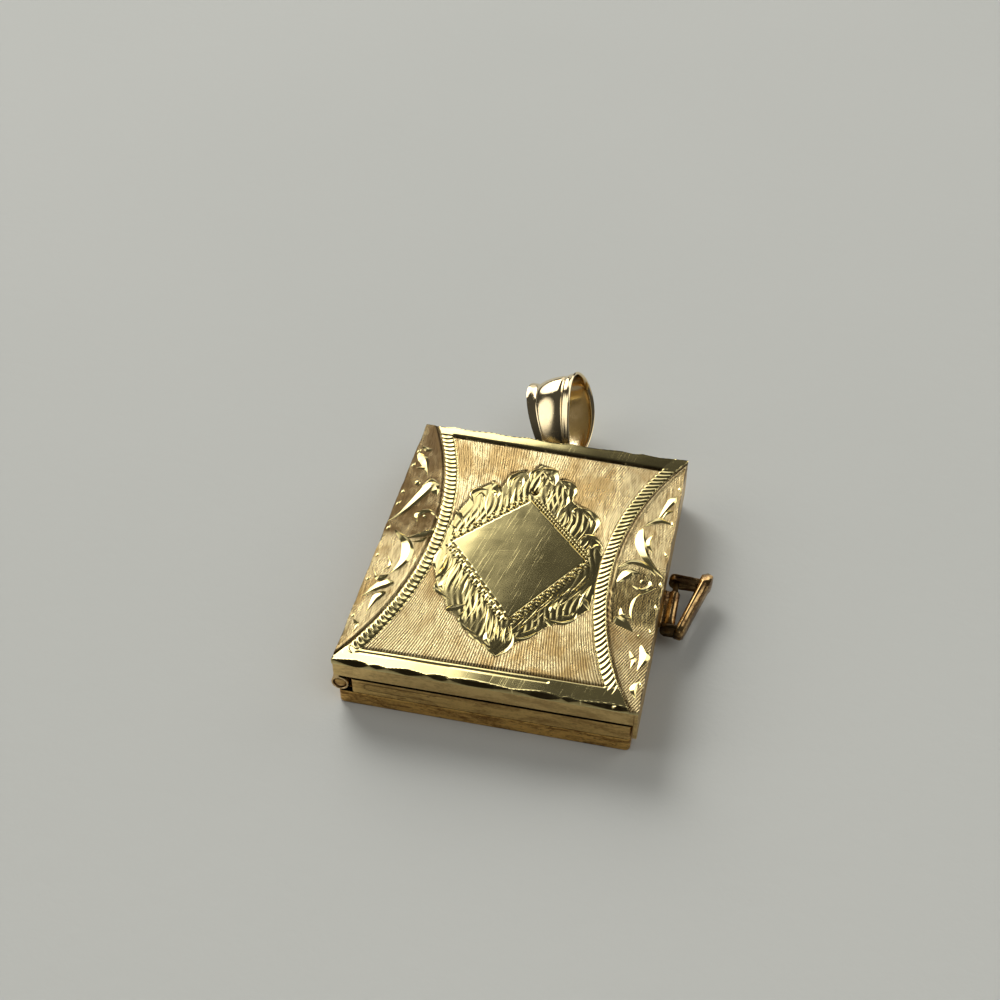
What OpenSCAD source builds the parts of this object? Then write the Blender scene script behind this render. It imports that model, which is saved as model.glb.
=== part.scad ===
// Hinged rectangular locket: a base tray and a lid that close over a swinging picture leaf.
// It holds four pictures, hangs from a tapered strap bail and has a hinged pull loop on its lid.
// X runs from the hinge to the catch, Y runs up towards the bail, Z is up out of the engraved lid.
// The origin is the centre of the base's underside. All sizes are millimetres.

/* [Case] */
// Width of the lid, from the hinge side to the catch side
case_w = 22; // [20:0.5:26]
// Height of the lid, towards the bail
case_h = 26.8; // [24:0.1:32]
// Thickness of the closed locket
case_t = 4.6; // [4.5:0.1:6]
// Thickness of the base tray
base_t = 1.25; // [1.2:0.05:1.35]
// Thickness of the picture leaf
leaf_t = 1.4; // [1.4:0.05:1.5]
// Thickness of the sheet in the lid's engraved plate
lid_plate_t = 0.5; // [0.4:0.05:0.6]
// Thickness of the sheet in the base's floor
base_plate_t = 0.45; // [0.35:0.05:0.5]
// Thickness of the side walls
wall_t = 0.5; // [0.4:0.05:0.6]
// Gap between the base and the leaf
base_seam = 0.05; // [0.04:0.01:0.08]
// Gap between the leaf and the lid
lid_seam = 0.15; // [0.1:0.01:0.2]
// How far the base's hinge side stands in from the lid's edge
base_inset = 0.3; // [0.3:0.05:0.45]
// Gap between the base and the lid's catch plate
catch_play = 0.1; // [0.1:0.01:0.14]

/* [Hinge] */
// Outside diameter of the hinge knuckles
knuckle_d = 1.3; // [1.2:0.05:1.4]
// Diameter of the hinge pin
hinge_pin_d = 0.9; // [0.6:0.05:0.9]
// Radial clearance of the pin in the knuckles that turn
hinge_play = 0.05; // [0.03:0.01:0.08]
// Number of knuckles along the hinge
knuckle_count = 7; // [7]
// Gap between neighbouring knuckles
knuckle_gap = 0.08; // [0.05:0.01:0.12]

/* [Catch] */
// Thickness of the catch plate on the lid
catch_t = 0.3; // [0.24:0.02:0.36]
// Height of the catch plate's lower edge above the underside of the base
catch_z = 1; // [0.9:0.05:1.05]
// Radius of the snap bead inside the catch plate
bead_r = 0.08; // [0.05:0.01:0.08]
// Length of the snap bead
bead_len = 5; // [3:0.5:8]

/* [Pictures] */
// Width of the rim of each picture bezel
bezel_w = 1.7; // [1.2:0.1:2]
// Thickness of a picture card
card_t = 0.1; // [0.08:0.02:0.12]
// Thickness of a clear window
lens_t = 0.15; // [0.1:0.01:0.16]
// Gap between the layers that lie behind a bezel
stack_gap = 0.02; // [0.01:0.01:0.03]
// Thickness of the leaf's middle sheet
web_t = 0.2; // [0.15:0.05:0.2]

/* [Bail] */
// Inside radius of the bail's round end
bail_top_r = 2.2; // [1.8:0.1:2.3]
// Inside radius of the bail's foot
bail_foot_r = 1.25; // [1.1:0.05:1.3]
// Distance from the staple bar to the centre of the bail's round end
bail_reach = 4.6; // [4.2:0.1:5]
// Thickness of the bail's strap
bail_strap_t = 0.4; // [0.3:0.05:0.45]
// Width of the strap at the round end
bail_wide = 4.4; // [3.6:0.1:4.6]
// Width of the strap at the foot
bail_narrow = 2; // [1.6:0.1:2]
// How far the bail leans up from the plane of the locket, in degrees
bail_lift = 21.5; // [18:0.5:24]
// How far the bail is rolled on its staple, in degrees
bail_roll = 26; // [18:1:26]
// How far the bail is turned sideways on its staple, in degrees
bail_turn = 1.5; // [0:0.5:5]
// Distance from the back of the case to the staple bar
staple_reach = 1.65; // [1.65:0.05:2]
// Radius of the staple wire
staple_r = 0.3; // [0.25:0.05:0.3]
// Distance between the centres of the staple's legs
staple_w = 4.4; // [4.4:0.1:5]

/* [Pull loop] */
// How far the loop's rear arm stands out from the catch plate
loop_arm = 2.45; // [2.3:0.05:2.5]
// Height of the loop's strap
loop_h = 1.2; // [1:0.05:1.2]
// Thickness of the loop's front arm
loop_t = 0.4; // [0.35:0.05:0.45]
// Thickness of the loop's rear arm
loop_rear_t = 0.6; // [0.4:0.05:0.7]
// Outside radius of the barrel that the loop hangs in
barrel_r = 0.45; // [0.42:0.01:0.48]
// Length of the barrel
barrel_len = 3.7; // [3.2:0.1:3.9]
// Radius of the loop's pin
loop_pin_r = 0.22; // [0.2:0.01:0.24]

/* [Hidden] */
$fn = 64;

// Colours
GOLD = "#d9b45b";
DEEP_GOLD = "#b98a3c";
PALE_GOLD = "#ecd28a";
CARD = "#efe9dc";
CLEAR = "#dfe8ea";

// Levels of the closed stack
leaf_z0 = base_t + base_seam;
leaf_z1 = leaf_z0 + leaf_t;
lid_z0 = leaf_z1 + lid_seam;
plate_z0 = case_t - lid_plate_t;

// Plan limits of each tray
lid_x0 = -case_w / 2;
lid_x1 = case_w / 2;
catch_x0 = lid_x1 - catch_t;
base_x0 = lid_x0 + base_inset;
base_x1 = catch_x0 - catch_play;
lid_y = case_h / 2;
inner_y = lid_y - 0.05;

// Hinge line, level with the middle of the leaf
hinge_x = lid_x0 + knuckle_d / 2 - 0.2;
hinge_z = (leaf_z0 + leaf_z1) / 2;
knuckle_r = knuckle_d / 2;
pin_r = hinge_pin_d / 2;
knuckle_len = (2 * inner_y - (knuckle_count - 1) * knuckle_gap) / knuckle_count;
leaf_x0 = hinge_x + knuckle_r + 0.2;
BASE_KNUCKLES = [1, 5];
LEAF_KNUCKLES = [2, 4];
LID_KNUCKLES = [0, 3, 6];

// Pull loop: its pin's line, its arms and the ends of its slanting outer bar
loop_pin_x = lid_x1 + 0.77;
loop_pin_z = 1.9;
loop_rear_y = 2.1;
loop_front_y = -3.07;
loop_tip = [lid_x1 + 2.8, 2.65];
loop_heel = [lid_x1 + 1.45, -3.15];
loop_bar_t = 0.5;
barrel_y0 = -2.8;
loop_play = 0.03;

// Bail: the centre of its foot along its own length
bail_foot_y = bail_foot_r - 0.65;
bail_x = 0.24;
staple_y = lid_y + staple_reach;
staple_z = 1.85;
staple_foot_z = 0.7;

// A flat block between two corners
module block(low, high) {
    translate(low) cube(high - low);
}

// A rectangular ring, open along Z
module ring_block(x0, x1, half_y, z0, z1, rim) {
    difference() {
        block([x0, -half_y, z0], [x1, half_y, z1]);
        block([x0 + rim, rim - half_y, z0 - 1], [x1 - rim, half_y - rim, z1 + 1]);
    }
}

// A cylinder along Y
module rod(x, z, r, y0, y1) {
    translate([x, y0, z]) rotate([-90, 0, 0]) cylinder(r = r, h = y1 - y0);
}

function knuckle_y(i) = -inner_y + i * (knuckle_len + knuckle_gap);

// Knuckles at the given places along the hinge, each with a tab that joins it to its own tray
module knuckle_set(places, bore_r, tab_low, tab_high) {
    for (i = places) {
        difference() {
            union() {
                rod(hinge_x, hinge_z, knuckle_r, knuckle_y(i), knuckle_y(i) + knuckle_len);
                block([tab_low[0], knuckle_y(i), tab_low[1]],
                    [tab_high[0], knuckle_y(i) + knuckle_len, tab_high[1]]);
            }
            rod(hinge_x, hinge_z, bore_r, knuckle_y(i) - 1, knuckle_y(i) + knuckle_len + 1);
        }
    }
}

// One picture: a card, a clear window and a bezel, stacked from level z in direction dir
module card(x0, x1, half_y, z, dir) {
    flat_layer(x0 + 0.2, x1 - 0.2, half_y - 0.2, z, dir, card_t);
}

module lens(x0, x1, half_y, z, dir) {
    flat_layer(x0 + 0.1, x1 - 0.1, half_y - 0.1, z + dir * (card_t + stack_gap), dir, lens_t);
}

module flat_layer(x0, x1, half_y, z, dir, thick) {
    z0 = min(z, z + dir * thick);
    block([x0, -half_y, z0], [x1, half_y, z0 + thick]);
}

module bezel(x0, x1, half_y, z_back, z_front) {
    z0 = min(z_back, z_front);
    z1 = max(z_back, z_front);
    ring_block(x0 + 0.05, x1 - 0.05, half_y - 0.05, z0, z1, bezel_w);
}

stack_t = card_t + lens_t + 2 * stack_gap;

// Inside limits of each tray
base_in = [base_x0 + wall_t, base_x1 - wall_t, inner_y - wall_t];
leaf_in = [leaf_x0 + wall_t, base_x1 - wall_t, inner_y - wall_t];
lid_in = [lid_x0 + wall_t, catch_x0, lid_y - wall_t];
base_floor = base_plate_t + stack_gap;
lid_ceiling = plate_z0 - stack_gap;
web_z0 = hinge_z - web_t / 2;
web_z1 = hinge_z + web_t / 2;
flush = 0.04;

// Base

module base_plate() {
    color(GOLD) block([base_x0, -inner_y, 0], [base_x1, inner_y, base_plate_t]);
}

module base_walls() {
    color(GOLD) ring_block(base_x0, base_x1, inner_y, base_plate_t, base_t, wall_t);
}

module base_knuckles() {
    color(GOLD) knuckle_set(BASE_KNUCKLES, pin_r + 0.01,
        [base_x0, base_t], [base_x0 + wall_t, hinge_z]);
}

module hinge_pin() {
    color(DEEP_GOLD) rod(hinge_x, hinge_z, pin_r, -inner_y, inner_y);
}

// A bent wire with its legs soldered to the back wall; its straight bar carries the bail
module bail_staple() {
    leg_y = staple_y - inner_y;
    leg_z = staple_z - staple_foot_z;
    leg_len = sqrt(leg_y * leg_y + leg_z * leg_z);
    color(GOLD) difference() {
        union() {
            translate([-staple_w / 2, staple_y, staple_z]) rotate([0, 90, 0])
                cylinder(r = staple_r, h = staple_w);
            for (side = [-1, 1]) {
                translate([side * staple_w / 2, staple_y, staple_z]) {
                    sphere(r = staple_r);
                    rotate([90 + atan2(leg_z, leg_y), 0, 0])
                        cylinder(r = staple_r, h = leg_len + staple_r);
                }
            }
        }
        block([-staple_w, 0, -1], [staple_w, inner_y, case_t]);
    }
}

module base_card() {
    color(CARD) card(base_in[0], base_in[1], base_in[2], base_floor, 1);
}

module base_lens() {
    color(CLEAR, 0.35) lens(base_in[0], base_in[1], base_in[2], base_floor, 1);
}

module base_bezel() {
    color(PALE_GOLD) bezel(base_in[0], base_in[1], base_in[2], base_floor + stack_t, base_t - flush);
}

// Leaf

module leaf_frame() {
    color(GOLD) ring_block(leaf_x0, base_x1, inner_y, leaf_z0, leaf_z1, wall_t);
}

module leaf_web() {
    color(GOLD) block([leaf_in[0], -leaf_in[2], web_z0], [leaf_in[1], leaf_in[2], web_z1]);
}

module leaf_knuckles() {
    color(GOLD) knuckle_set(LEAF_KNUCKLES, pin_r + hinge_play,
        [hinge_x + pin_r + hinge_play, hinge_z - 0.35], [leaf_x0, hinge_z + 0.35]);
}

module leaf_front_card() {
    color(CARD) card(leaf_in[0], leaf_in[1], leaf_in[2], web_z1 + stack_gap, 1);
}

module leaf_front_lens() {
    color(CLEAR, 0.35) lens(leaf_in[0], leaf_in[1], leaf_in[2], web_z1 + stack_gap, 1);
}

module leaf_front_bezel() {
    color(PALE_GOLD) bezel(leaf_in[0], leaf_in[1], leaf_in[2], web_z1 + stack_gap + stack_t,
        leaf_z1 - flush);
}

module leaf_back_card() {
    color(CARD) card(leaf_in[0], leaf_in[1], leaf_in[2], web_z0 - stack_gap, -1);
}

module leaf_back_lens() {
    color(CLEAR, 0.35) lens(leaf_in[0], leaf_in[1], leaf_in[2], web_z0 - stack_gap, -1);
}

module leaf_back_bezel() {
    color(PALE_GOLD) bezel(leaf_in[0], leaf_in[1], leaf_in[2], web_z0 - stack_gap - stack_t,
        leaf_z0 + flush);
}

// Lid

module lid_plate() {
    color(PALE_GOLD) block([lid_x0, -lid_y, plate_z0], [lid_x1, lid_y, case_t]);
}

// Three walls; the catch plate closes the fourth side
module lid_walls() {
    color(GOLD) difference() {
        block([lid_x0, -lid_y, lid_z0], [catch_x0, lid_y, plate_z0]);
        block([lid_in[0], -lid_in[2], lid_z0 - 1], [lid_x1 + 1, lid_in[2], plate_z0 + 1]);
    }
}

module catch_plate() {
    color(GOLD) block([catch_x0, -lid_y, catch_z], [lid_x1, lid_y, plate_z0]);
}

// A half-round bead along the inside of the catch plate, near its lower edge
module snap_bead() {
    color(DEEP_GOLD) difference() {
        rod(catch_x0, catch_z + 0.2, bead_r, -bead_len / 2, bead_len / 2);
        block([catch_x0, -bead_len, catch_z], [lid_x1, bead_len, catch_z + 1]);
    }
}

module lid_knuckles() {
    color(GOLD) knuckle_set(LID_KNUCKLES, pin_r + hinge_play,
        [lid_x0, hinge_z + pin_r + hinge_play], [hinge_x, lid_z0]);
}

module lid_card() {
    color(CARD) card(lid_in[0], lid_in[1], lid_in[2], lid_ceiling, -1);
}

module lid_lens() {
    color(CLEAR, 0.35) lens(lid_in[0], lid_in[1], lid_in[2], lid_ceiling, -1);
}

module lid_bezel() {
    color(PALE_GOLD) bezel(lid_in[0], lid_in[1], lid_in[2], lid_ceiling - stack_t,
        lid_ceiling - stack_t - lid_plate_t);
}

// The barrel is soldered to the catch plate by a short foot
module loop_barrel() {
    barrel_y1 = barrel_y0 + barrel_len;
    color(DEEP_GOLD) difference() {
        union() {
            rod(loop_pin_x, loop_pin_z, barrel_r, barrel_y0, barrel_y1);
            block([lid_x1, barrel_y0, loop_pin_z - 0.25], [loop_pin_x, barrel_y1, loop_pin_z + 0.25]);
        }
        rod(loop_pin_x, loop_pin_z, loop_pin_r + 0.01, barrel_y0 - 1, barrel_y1 + 1);
    }
}

module loop_pin() {
    color(PALE_GOLD) rod(loop_pin_x, loop_pin_z, loop_pin_r,
        loop_front_y - loop_t / 2 - 0.05, loop_rear_y + loop_rear_t / 2 + 0.05);
}

// A straight strap between two points in plan, with round ends
module strap(from, to, thick) {
    along = to - from;
    translate([from[0], from[1], loop_pin_z - loop_h / 2])
        rotate([0, 0, atan2(along[1], along[0])]) {
            translate([0, -thick / 2, 0]) cube([norm(along), thick, loop_h]);
            cylinder(d = thick, h = loop_h);
            translate([norm(along), 0, 0]) cylinder(d = thick, h = loop_h);
        }
}

// Two arms of unequal length joined by a slanting outer bar
module pull_loop() {
    arm_x0 = loop_pin_x - loop_h / 4;
    color(DEEP_GOLD) difference() {
        union() {
            strap([arm_x0, loop_rear_y], [lid_x1 + loop_arm, loop_rear_y], loop_rear_t);
            strap([arm_x0, loop_front_y], [loop_heel[0], loop_front_y], loop_t);
            strap(loop_heel, loop_tip, loop_bar_t);
        }
        rod(loop_pin_x, loop_pin_z, loop_pin_r + loop_play, loop_front_y - 1, loop_rear_y + 1);
    }
}

// Bail

// Side outline of the strap's loop: a round end and a smaller round foot, with straight sides
// whose corners lie just inside both circles
module bail_outline(extra) {
    top_r = bail_top_r + extra;
    foot_r = bail_foot_r + extra;
    lean = asin((top_r - foot_r) / (bail_reach - bail_foot_y));
    inside = 0.99;
    top_at = [bail_reach - top_r * inside * sin(lean), top_r * inside * cos(lean)];
    foot_at = [bail_foot_y - foot_r * inside * sin(lean), foot_r * inside * cos(lean)];
    translate([bail_reach, 0]) circle(r = top_r);
    translate([bail_foot_y, 0]) circle(r = foot_r);
    polygon([[foot_at[0], -foot_at[1]], [top_at[0], -top_at[1]], top_at, foot_at]);
}

// A strap bent into a loop and tapered from its round end to its foot
module bail() {
    outer_r = bail_top_r + bail_strap_t;
    tip_y = bail_reach + outer_r;
    foot_y = bail_foot_y - bail_foot_r - bail_strap_t;
    color(GOLD) translate([bail_x, staple_y, staple_z])
        rotate([bail_lift, -bail_roll, bail_turn])
        intersection() {
            rotate([90, 0, 90]) translate([0, 0, -bail_wide / 2]) linear_extrude(bail_wide)
                difference() {
                    bail_outline(bail_strap_t);
                    bail_outline(0);
                }
            translate([0, 0, -outer_r]) linear_extrude(2 * outer_r) polygon([
                [-bail_narrow / 2, foot_y], [bail_narrow / 2, foot_y],
                [bail_wide / 2, tip_y], [-bail_wide / 2, tip_y]
            ]);
        }
}

base_plate();
base_walls();
base_knuckles();
hinge_pin();
bail_staple();
base_card();
base_lens();
base_bezel();
leaf_frame();
leaf_web();
leaf_knuckles();
leaf_front_card();
leaf_front_lens();
leaf_front_bezel();
leaf_back_card();
leaf_back_lens();
leaf_back_bezel();
lid_plate();
lid_walls();
catch_plate();
snap_bead();
lid_knuckles();
lid_card();
lid_lens();
lid_bezel();
loop_barrel();
loop_pin();
pull_loop();
bail();
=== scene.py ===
"""Looks for the hinged picture locket. Lengths in the shape code are millimetres, scaled once when a
mesh is made; everything is in the frame's own axes, with the base's underside at z = 0."""
import math

import bmesh
import bpy
import numpy as np
from mathutils import Matrix, Vector


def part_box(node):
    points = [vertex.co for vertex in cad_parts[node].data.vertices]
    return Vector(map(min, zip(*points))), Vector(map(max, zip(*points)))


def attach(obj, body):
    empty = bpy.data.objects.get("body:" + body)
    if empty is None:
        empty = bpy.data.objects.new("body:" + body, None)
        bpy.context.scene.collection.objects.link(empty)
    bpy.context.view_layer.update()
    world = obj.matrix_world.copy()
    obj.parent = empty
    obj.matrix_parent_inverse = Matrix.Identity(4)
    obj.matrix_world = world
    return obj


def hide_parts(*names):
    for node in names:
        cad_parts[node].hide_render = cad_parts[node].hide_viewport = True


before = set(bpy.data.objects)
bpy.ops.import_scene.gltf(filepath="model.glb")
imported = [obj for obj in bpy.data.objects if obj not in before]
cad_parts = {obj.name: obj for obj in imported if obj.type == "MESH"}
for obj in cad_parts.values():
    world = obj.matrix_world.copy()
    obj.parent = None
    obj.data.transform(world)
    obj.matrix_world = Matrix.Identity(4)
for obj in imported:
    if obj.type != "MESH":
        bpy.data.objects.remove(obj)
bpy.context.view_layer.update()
MM = 0.001


def box(node):
    """Lowest and highest corner of a CAD node, in millimetres."""
    low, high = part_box(node)
    return np.array(low) / MM, np.array(high) / MM


def add_object(name, data):
    obj = bpy.data.objects.new(name, data)
    bpy.context.scene.collection.objects.link(obj)
    return obj


# ---- mesh building

def piece(name, shells, mat, body, slot, stands_for=(), *, crease, **maps):
    """Makes one piece from shells, each a pair of points in millimetres and faces. Edges that turn by
    more than crease degrees are sharp. maps are numbers for each point that the material reads by
    name."""
    points, faces, start = [], [], 0
    for shell_points, shell_faces in shells:
        points.append(shell_points)
        faces += [[start + i for i in f] for f in shell_faces]
        start += len(shell_points)
    mesh = bpy.data.meshes.new(name)
    mesh.from_pydata((np.vstack(points) * MM).tolist(), [], faces)
    for key, values in maps.items():
        mesh.attributes.new(key, "FLOAT", "POINT").data.foreach_set(
            "value", np.asarray(values, np.float32))
    bm = bmesh.new()
    bm.from_mesh(mesh)
    bmesh.ops.recalc_face_normals(bm, faces=bm.faces[:])
    bm.to_mesh(mesh)
    bm.free()
    mesh.shade_smooth()
    mesh.set_sharp_from_angle(angle=math.radians(crease))
    mesh.materials.append(mat)
    obj = add_object(name, mesh)
    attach(obj, body)
    if stands_for:
        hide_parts(*stands_for)
    return obj


def loft(rows, ring=True, wrap=False):
    """Joins rows of points of equal length. ring closes each row, and wrap joins the last row to the
    first. What is left open is capped: the first and last ring, or the ends of wrapped rows."""
    n, m = len(rows[0]), len(rows)
    faces = []
    for j in range(m if wrap else m - 1):
        a, b = j * n, ((j + 1) % m) * n
        for i in range(n if ring else n - 1):
            k = (i + 1) % n
            faces.append([a + i, a + k, b + k, b + i])
    if ring and not wrap:
        faces += [list(range(n))[::-1], list(range((m - 1) * n, m * n))]
    if wrap and not ring:
        faces += [list(range(0, m * n, n)), list(range(n - 1, m * n, n))[::-1]]
    return np.vstack(rows), faces


def slab(grid, floor):
    """A sheet of points in rows, with walls from its rim down to a flat floor. Also gives the rim."""
    m, n = grid.shape[:2]
    index = np.arange(m * n).reshape(m, n)
    rim = np.concatenate([index[0], index[1:, -1], index[-1, -2::-1], index[-2:0:-1, 0]]).tolist()
    top = grid.reshape(-1, 3)
    under = top[rim]
    under[:, 2] = floor
    low = list(range(m * n, m * n + len(rim)))
    i = index[:-1, :-1].ravel()
    faces = np.stack([i, i + 1, i + n + 1, i + n], 1).tolist()
    faces += [list(f) for f in zip(rim, low, low[1:] + low[:1], rim[1:] + rim[:1])] + [low[::-1]]
    return np.vstack([top, under]), faces, rim


def arc(cx, cy, r, a0, a1, steps):
    t = np.radians(np.linspace(a0, a1, steps + 1))
    return np.stack([cx + r * np.cos(t), cy + r * np.sin(t)], 1)


def circle(steps):
    """Cosines and sines of angles spread over a full turn."""
    t = np.radians(np.linspace(0, 360, steps, endpoint=False))
    return np.cos(t), np.sin(t)


def outline(x0, x1, y0, y1, r, front=0):
    """A rectangle with round corners, from its right side round through the back, left and front.
    front adds that many points to its front side."""
    xs = np.linspace(x0 + r, x1 - r, front + 2)[1:-1]
    return np.vstack([arc(x1 - r, y1 - r, r, 0, 90, 6), arc(x0 + r, y1 - r, r, 90, 180, 6),
                      arc(x0 + r, y0 + r, r, 180, 270, 6), np.stack([xs, np.full(front, y0)], 1),
                      arc(x1 - r, y0 + r, r, 270, 360, 6)])


def at_height(flat, z):
    return np.column_stack([flat, np.full(len(flat), z)])


def tray(x0, x1, half_y, rows, front=0):
    """Rings of a rounded rectangle, one for each (inset, z, corner radius)."""
    return [at_height(outline(x0 + d, x1 - d, d - half_y, half_y - d, r, front), z)
            for d, z, r in rows]


def tube(path, radius, sides):
    """A round bar along a path of 3-D points, closed at both ends with a slight dome."""
    path = np.asarray(path, float)
    along = np.gradient(path, axis=0)
    along /= np.linalg.norm(along, axis=1)[:, None]
    side = np.cross(along[0], [0.0, 0.3, 1.0])
    cos, sin = circle(sides)
    dome = [(-0.2, 0.55), (0.0, 0.9), (0.1, 1.0)]       # step along the path and radius, in radii
    rings = [dome] + [[(0.0, 1.0)]] * (len(path) - 2) + [[(-s, r) for s, r in dome[::-1]]]
    rows = []
    for p, a, steps in zip(path, along, rings):
        side = side - a * side.dot(a)
        side /= np.linalg.norm(side)
        ring = np.outer(cos, side) + np.outer(sin, np.cross(a, side))
        rows += [p + a * s * radius + ring * radius * r for s, r in steps]
    return loft(rows)


def turned(x, z, profile, steps):
    """A hollow turned shape about a line along y. profile is (y, radius) pairs round its wall."""
    cos, sin = circle(steps)
    return loft([np.column_stack([x + r * cos, np.full(steps, y), z + r * sin]) for y, r in profile],
                wrap=True)


def smooth_path(points, count):
    """Points along a Catmull-Rom curve through the given points."""
    p = np.asarray(points, float)
    p = np.vstack([2 * p[0] - p[1], p, 2 * p[-1] - p[-2]])
    out = []
    for t in np.linspace(0, len(p) - 3, count):
        i = min(int(t), len(p) - 4)
        s = t - i
        a, b, c, d = p[i:i + 4]
        out.append(0.5 * (2 * b + (c - a) * s + (2 * a - 5 * b + 4 * c - d) * s ** 2
                          + (3 * b - a - 3 * c + d) * s ** 3))
    return np.array(out)


def extrude(flat, low, high, bevel):
    """An outline in x and z drawn out along y, with bevelled edges. The outline runs round its own
    centre, so the bevel is a small shrink towards it."""
    flat = np.asarray(flat, float)
    middle = flat.mean(0)
    reach = np.abs(flat - middle).max()
    return loft([np.insert(middle + (flat - middle) * (1 - shrink / reach), 1, y, axis=1)
                 for y, shrink in ((low, bevel), (low + bevel, 0), (high - bevel, 0), (high, bevel))])


def bell(x, width):
    return np.exp(-(x / width) ** 2)


def held(x):
    """x held between 0 and 1."""
    return np.clip(x, 0, 1)


# ---- materials

class Nodes:
    """A short way to wire the nodes of a material or a world."""

    def __init__(self, name, kind="materials", place="Object"):
        self.owner = getattr(bpy.data, kind).new(name)
        self.owner.use_nodes = True
        self.tree = self.owner.node_tree
        self.place = self.add("ShaderNodeTexCoord").outputs[place]

    def add(self, kind, values=(), **settings):
        """A new node. values fill its sockets: a list in their order, or a table by name or number."""
        node = self.tree.nodes.new(kind)
        for key, value in settings.items():
            setattr(node, key, value)
        for key, value in values.items() if isinstance(values, dict) else enumerate(values):
            self.put(node.inputs[key], value)
        return node

    def put(self, socket, value):
        """Links a socket to another, or sets its number or its colour, given without alpha."""
        if isinstance(value, bpy.types.NodeSocket):
            self.tree.links.new(value, socket)
        else:
            socket.default_value = (*value, 1.0) if socket.type == "RGBA" else value

    def math(self, how, a, b=0.0, c=0.0):
        return self.add("ShaderNodeMath", (a, b, c), operation=how).outputs[0]

    def times(self, a, b, plus=None):
        """a times b, and plus added where it is given."""
        return self.math("MULTIPLY", a, b) if plus is None else self.math("MULTIPLY_ADD", a, b, plus)

    def noise(self, scale, detail, rough, turn=(0, 0, 0), warp=0.0):
        """Noise of object coordinates in millimetres times scale, along axes turned by degrees."""
        place = self.add("ShaderNodeMapping", {
            "Vector": self.place, "Scale": [MM / s for s in scale],
            "Rotation": [math.radians(t) for t in turn]}, vector_type="TEXTURE")
        return self.add("ShaderNodeTexNoise", {
            "Vector": place.outputs[0], "Scale": 1.0, "Detail": detail, "Roughness": rough,
            "Distortion": warp}).outputs[0]

    def between(self, value, low, high, out_low=0.0, out_high=1.0):
        return self.add("ShaderNodeMapRange", (value, low, high, out_low, out_high),
                        interpolation_type="SMOOTHSTEP").outputs[0]

    def attribute(self, name):
        return self.add("ShaderNodeAttribute", attribute_name=name).outputs["Fac"]

    def mix(self, share, a, b):
        return self.add("ShaderNodeMix", {0: share, 6: a, 7: b}, data_type="RGBA").outputs[2]

    def bump(self, height, depth_mm, normal=None):
        values = {"Distance": depth_mm * MM, "Strength": 1.0, "Height": height}
        if normal is not None:
            values["Normal"] = normal
        return self.add("ShaderNodeBump", values).outputs[0]

    def finish(self, colour, rough, normal, **more):
        """Fills the shader's sockets and gives the material."""
        shader = self.tree.nodes["Principled BSDF"]
        more.update({"Base Color": colour, "Roughness": rough, "Normal": normal})
        for key, value in more.items():
            self.put(shader.inputs[key], value)
        return self.owner


# The last colour is near-black, for painted shade in seams, gaps and hollows, with some soot.
BROWN, SPECK, SHADE_AND_SOOT = (0.2, 0.095, 0.028), (0.07, 0.03, 0.01), (0.015, 0.009, 0.004)


def gold(name, tint, rough, patina, brush_depth=0.004, waves=0.012, speckle=0.0, deep=BROWN):
    """Worn gold: patina in soft clouds, specks, fine drawn marks, a slightly uneven surface, and
    painted shade with some soot where the mesh carries a map of it. deep is the patina's colour."""
    n = Nodes(name)
    clouds = n.noise((0.3, 0.3, 1.2), 5, 0.65, warp=0.8)
    fine = n.noise((3.0, 3.0, 6.0), 4, 0.65)
    stain = n.times(n.between(n.times(fine, 0.45, clouds), 0.6, 0.9), patina)
    colour = n.mix(stain, tint, deep)
    if speckle:
        spots = n.between(n.noise((2.2, 2.2, 4.5), 2, 0.5), 0.62, 0.72, 0.0, speckle)
        colour = n.mix(spots, colour, SPECK)
    scratch = n.between(n.noise((0.35, 7.0, 7.0), 2, 0.5, turn=(0, 20, 31)), 0.6, 0.72)
    # Painted shade with some soot: this map mixes the colour towards near-black and roughens it.
    soot = n.attribute("soot")
    rough_map = n.times(stain, 0.3, n.times(fine, 0.14, rough - 0.07))
    rough_map = n.times(soot, 0.25, n.times(scratch, 0.05, rough_map))
    normal = n.bump(n.noise((0.5, 0.5, 0.5), 2, 0.45), waves)
    normal = n.bump(n.noise((0.4, 0.4, 9.0), 3, 0.6), brush_depth, normal)
    normal = n.bump(scratch, 0.002, normal)
    return n.finish(n.mix(soot, colour, SHADE_AND_SOOT), rough_map, normal, Metallic=1.0)


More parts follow.
